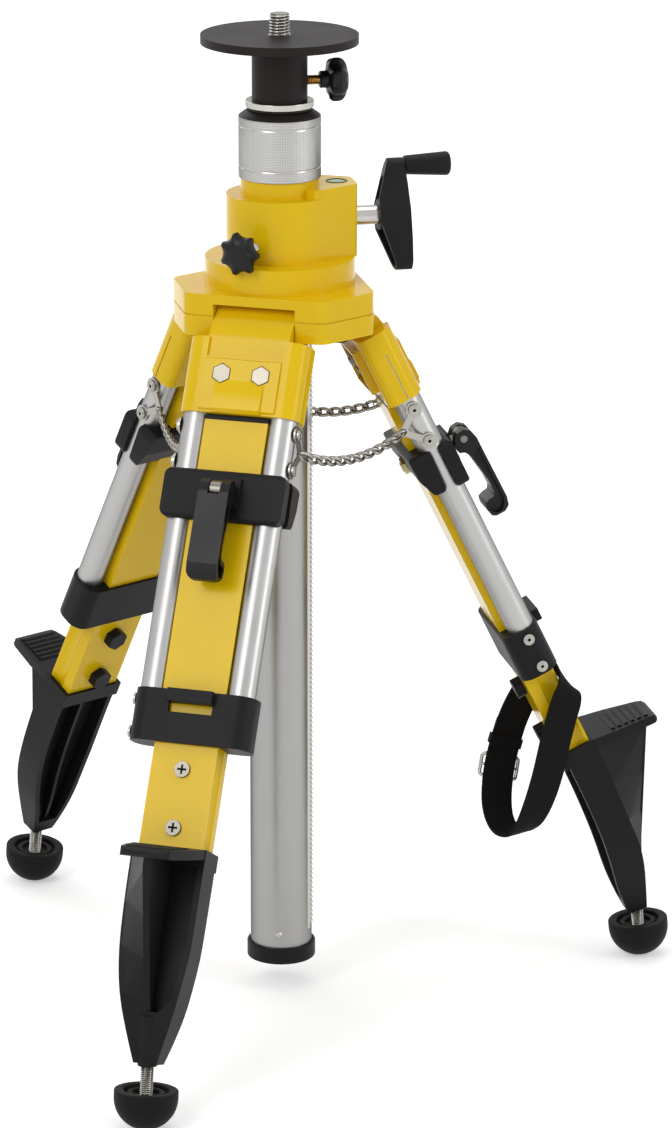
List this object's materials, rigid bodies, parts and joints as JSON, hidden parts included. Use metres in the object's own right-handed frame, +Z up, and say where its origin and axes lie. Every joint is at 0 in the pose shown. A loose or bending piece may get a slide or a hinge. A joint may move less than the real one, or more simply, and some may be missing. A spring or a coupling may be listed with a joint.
{
  "type": "elevating tripod",
  "caption": "Heavy instrument tripod with a geared crank column, fine height sleeve, screw-topped platform, telescopic clamp legs, spread chains and screw feet.",
  "frame": {"origin": "middle of the platform top face, at the root of the mounting stud", "axes": "+Z up along the column and the stud; +X towards the crank, over the right leg"},
  "size_m": [0.4998, 0.5924, 0.7795],
  "materials": {
    "yellow_paint": "gloss yellow powder coat on cast aluminium",
    "anodised_tube": "satin clear anodised tube",
    "knurled_alloy": "fine knurl with bright turned grooves",
    "bush_alloy": "turned",
    "bright_steel": "bright turned steel",
    "zinc_steel": "zinc plated",
    "nickel_chain": "nickel plated links",
    "black_plastic": "satin moulded black",
    "black_anodised": "satin black anodised",
    "black_cast": "satin black coat",
    "foot_rubber": "matte moulded rubber",
    "vial_glass": "green level vial",
    "webbing": "woven black webbing"
  },
  "bodies": {
    "head": {"head_plate": "yellow_paint", "hinge_ring": "yellow_paint", "head_screws": "black_plastic", "gear_housing": "yellow_paint", "column_bushes": "bush_alloy", "level_vial": "vial_glass", "spread_chains": "nickel_chain"},
    "column": {"column_tube": "anodised_tube", "column_rack": "bright_steel", "column_cap": "black_plastic", "column_head": "bright_steel"},
    "crank": {"crank_shaft": "bright_steel", "crank_arm": "black_plastic"},
    "crank_grip": {"crank_grip": "black_plastic"},
    "gear_shaft": {"gear_shaft": "bright_steel"},
    "lock_knob": {"lock_knob": "black_plastic"},
    "spindle": {"platform_spindle": "bright_steel"},
    "fine_sleeve": {"fine_sleeve": "knurled_alloy"},
    "platform": {"platform": "black_anodised", "mounting_stud": "bright_steel"},
    "platform_knob": {"platform_knob": "black_plastic"},
    "front_leg": {"front_bracket": "yellow_paint", "front_tubes": "anodised_tube", "front_collar": "black_plastic", "front_fasteners": "zinc_steel", "front_chain_plates": "zinc_steel"},
    "front_lower_leg": {"front_inner_leg": "yellow_paint", "front_clamp": "black_plastic", "front_screws": "zinc_steel", "front_shoe": "black_cast"},
    "front_lever": {"front_lever": "black_plastic"},
    "front_foot_screw": {"front_spindle": "bright_steel"},
    "front_foot": {"front_foot": "foot_rubber"},
    "right_leg": {"right_bracket": "yellow_paint", "right_tubes": "anodised_tube", "right_collar": "black_plastic", "right_fasteners": "zinc_steel", "right_chain_plates": "zinc_steel"},
    "right_lower_leg": {"right_inner_leg": "yellow_paint", "right_clamp": "black_plastic", "right_screws": "zinc_steel", "right_shoe": "black_cast", "strap": "webbing", "strap_buckle": "black_plastic"},
    "right_lever": {"right_lever": "black_plastic"},
    "right_foot_screw": {"right_spindle": "bright_steel"},
    "right_foot": {"right_foot": "foot_rubber"},
    "left_leg": {"left_bracket": "yellow_paint", "left_tubes": "anodised_tube", "left_collar": "black_plastic", "left_fasteners": "zinc_steel", "left_chain_plates": "zinc_steel"},
    "left_lower_leg": {"left_inner_leg": "yellow_paint", "left_clamp": "black_plastic", "left_screws": "zinc_steel", "left_shoe": "black_cast"},
    "left_lever": {"left_lever": "black_plastic"},
    "left_foot_screw": {"left_spindle": "bright_steel"},
    "left_foot": {"left_foot": "foot_rubber"}
  },
  "joints": [
    {"name": "column_lift", "type": "slide", "parent": "head", "child": "column", "axis": [0, 0, 1], "range_m": [0, 0.4]},
    {"name": "crank_turn", "type": "hinge", "parent": "head", "child": "crank", "pos_m": [0, 0, -0.1425], "axis": [-1, 0, 0], "range_deg": [0, 7132]},
    {"name": "gear_turn", "type": "hinge", "parent": "head", "child": "gear_shaft", "pos_m": [0.03285, 0, -0.1546], "axis": [0, 1, 0], "range_deg": [0, 2039]},
    {"name": "grip_turn", "type": "hinge", "parent": "crank", "child": "crank_grip", "pos_m": [0.1, 0.01666, -0.10835], "axis": [1, 0, 0], "continuous": true},
    {"name": "lock_turn", "type": "hinge", "parent": "head", "child": "lock_knob", "pos_m": [-0.03728, -0.04443, -0.1575], "axis": [-0.6428, -0.766, 0], "range_deg": [0, 360]},
    {"name": "fine_lift", "type": "slide", "parent": "column", "child": "spindle", "axis": [0, 0, 1], "range_m": [0, 0.02]},
    {"name": "sleeve_turn", "type": "hinge", "parent": "column", "child": "fine_sleeve", "pos_m": [0, 0, -0.08], "axis": [0, 0, 1], "range_deg": [0, 2401]},
    {"name": "platform_turn", "type": "hinge", "parent": "spindle", "child": "platform", "pos_m": [0, 0, -0.02], "axis": [0, 0, 1], "continuous": true},
    {"name": "platform_knob_turn", "type": "hinge", "parent": "platform", "child": "platform_knob", "pos_m": [0.04, 0, -0.036], "axis": [1, 0, 0], "range_deg": [0, 360]},
    {"name": "front_fold", "type": "hinge", "parent": "head", "child": "front_leg", "pos_m": [-0.024, -0.04157, -0.212], "axis": [-0.866, 0.5, 0], "range_deg": [-25.6, 1.9], "deforming": ["spread_chains"]},
    {"name": "front_extend", "type": "slide", "parent": "front_leg", "child": "front_lower_leg", "axis": [-0.2355, -0.4079, -0.8821], "range_m": [0, 0.126]},
    {"name": "front_lever_lift", "type": "hinge", "parent": "front_lower_leg", "child": "front_lever", "pos_m": [-0.07356, -0.12741, -0.31801], "axis": [-0.866, 0.5, 0], "range_deg": [0, 120]},
    {"name": "front_foot_adjust", "type": "slide", "parent": "front_lower_leg", "child": "front_foot_screw", "axis": [-0.0705, -0.122, -0.99], "range_m": [-0.004, 0.015]},
    {"name": "front_foot_turn", "type": "hinge", "parent": "front_foot_screw", "child": "front_foot", "pos_m": [-0.15686, -0.27169, -0.73567], "axis": [-0.0705, -0.122, -0.99], "range_deg": [-961, 3601]},
    {"name": "right_fold", "type": "hinge", "parent": "head", "child": "right_leg", "pos_m": [0.048, 0, -0.212], "axis": [0, -1, 0], "range_deg": [-23.6, 3.9], "deforming": ["spread_chains", "strap", "strap_buckle"]},
    {"name": "right_extend", "type": "slide", "parent": "right_leg", "child": "right_lower_leg", "axis": [0.4399, 0, -0.898], "range_m": [0, 0.126]},
    {"name": "right_lever_lift", "type": "hinge", "parent": "right_lower_leg", "child": "right_lever", "pos_m": [0.14336, 0, -0.32141], "axis": [0, -1, 0], "range_deg": [0, 120]},
    {"name": "right_foot_adjust", "type": "slide", "parent": "right_lower_leg", "child": "right_foot_screw", "axis": [0.1063, 0, -0.9943], "range_m": [-0.004, 0.015]},
    {"name": "right_foot_turn", "type": "hinge", "parent": "right_foot_screw", "child": "right_foot", "pos_m": [0.29529, 0, -0.74462], "axis": [0.1063, 0, -0.9943], "range_deg": [-961, 3601]},
    {"name": "left_fold", "type": "hinge", "parent": "head", "child": "left_leg", "pos_m": [-0.024, 0.04157, -0.212], "axis": [0.866, 0.5, 0], "range_deg": [-25.6, 1.9], "deforming": ["spread_chains"]},
    {"name": "left_extend", "type": "slide", "parent": "left_leg", "child": "left_lower_leg", "axis": [-0.2355, 0.4079, -0.8821], "range_m": [0, 0.126]},
    {"name": "left_lever_lift", "type": "hinge", "parent": "left_lower_leg", "child": "left_lever", "pos_m": [-0.07356, 0.12741, -0.31801], "axis": [0.866, 0.5, 0], "range_deg": [0, 120]},
    {"name": "left_foot_adjust", "type": "slide", "parent": "left_lower_leg", "child": "left_foot_screw", "axis": [-0.0705, 0.122, -0.99], "range_m": [-0.004, 0.015]},
    {"name": "left_foot_turn", "type": "hinge", "parent": "left_foot_screw", "child": "left_foot", "pos_m": [-0.15686, 0.27169, -0.73567], "axis": [-0.0705, 0.122, -0.99], "range_deg": [-961, 3601]}
  ],
  "couplings": [
    {"joint": "crank_turn", "follows": "column_lift", "rad_per_m": 311.11},
    {"joint": "gear_turn", "follows": "column_lift", "rad_per_m": 88.889},
    {"joint": "sleeve_turn", "follows": "fine_lift", "rad_per_m": 2094.4},
    {"joint": "front_foot_turn", "follows": "front_foot_adjust", "rad_per_m": 4188.8},
    {"joint": "right_foot_turn", "follows": "right_foot_adjust", "rad_per_m": 4188.8},
    {"joint": "left_foot_turn", "follows": "left_foot_adjust", "rad_per_m": 4188.8}
  ]
}
